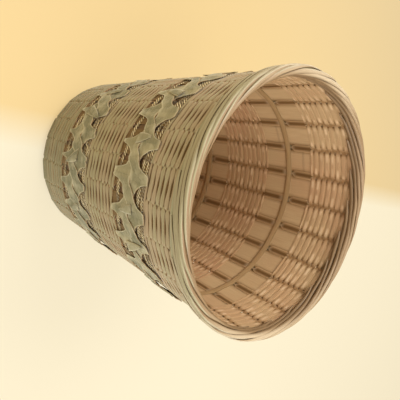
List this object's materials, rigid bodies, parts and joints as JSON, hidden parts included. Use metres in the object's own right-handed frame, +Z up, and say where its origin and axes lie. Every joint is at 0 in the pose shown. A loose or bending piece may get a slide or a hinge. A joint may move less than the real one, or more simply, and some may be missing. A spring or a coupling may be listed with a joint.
{
  "type": "bamboo wastebasket",
  "caption": "Round tapered wastebasket woven from bamboo on wide flat stakes, with fine and open-work bands, a flat rim hoop and a wound rim.",
  "frame": {"origin": "centre of the circle that the foot hoop stands on, at floor level", "axes": "+Z up along the basket's axis, out of its mouth; +X and +Y are any two directions square to it"},
  "size_m": [0.2595, 0.2566, 0.3],
  "materials": {
    "stake_bamboo": "split bamboo, satin, warm brown",
    "tan_weaver": "split bamboo, satin, pinkish tan",
    "sage_weaver": "split bamboo, satin, sage green",
    "green_ribbon": "bamboo skin, smooth, pale sage green",
    "olive_hoop": "split bamboo, satin, olive brown",
    "rim_green": "bamboo skin, smooth, pale green",
    "rim_cane": "split bamboo, satin, light beige"
  },
  "bodies": {
    "root": {"stake_01": "stake_bamboo", "stake_02": "stake_bamboo", "stake_03": "stake_bamboo", "stake_04": "stake_bamboo", "stake_05": "stake_bamboo", "stake_06": "stake_bamboo", "stake_07": "stake_bamboo", "stake_08": "stake_bamboo", "stake_09": "stake_bamboo", "stake_10": "stake_bamboo", "stake_11": "stake_bamboo", "stake_12": "stake_bamboo", "stake_13": "stake_bamboo", "stake_14": "stake_bamboo", "stake_15": "stake_bamboo", "stake_16": "stake_bamboo", "stake_17": "stake_bamboo", "stake_18": "stake_bamboo", "stake_19": "stake_bamboo", "stake_20": "stake_bamboo", "stake_21": "stake_bamboo", "stake_22": "stake_bamboo", "stake_23": "stake_bamboo", "foot_hoop": "olive_hoop", "base_disc_under": "stake_bamboo", "base_disc_over": "stake_bamboo", "base_weave": "tan_weaver", "lower_weave": "sage_weaver", "middle_weave": "tan_weaver", "upper_weave": "tan_weaver", "lower_open_ribbon_a": "green_ribbon", "lower_open_ribbon_b": "green_ribbon", "lower_open_inner_hoop": "olive_hoop", "upper_open_ribbon_a": "green_ribbon", "upper_open_ribbon_b": "green_ribbon", "upper_open_inner_hoop": "olive_hoop", "rim_outer_hoop": "rim_green", "rim_inner_hoop": "rim_green", "rim_winding": "rim_cane"}
  },
  "joints": []
}
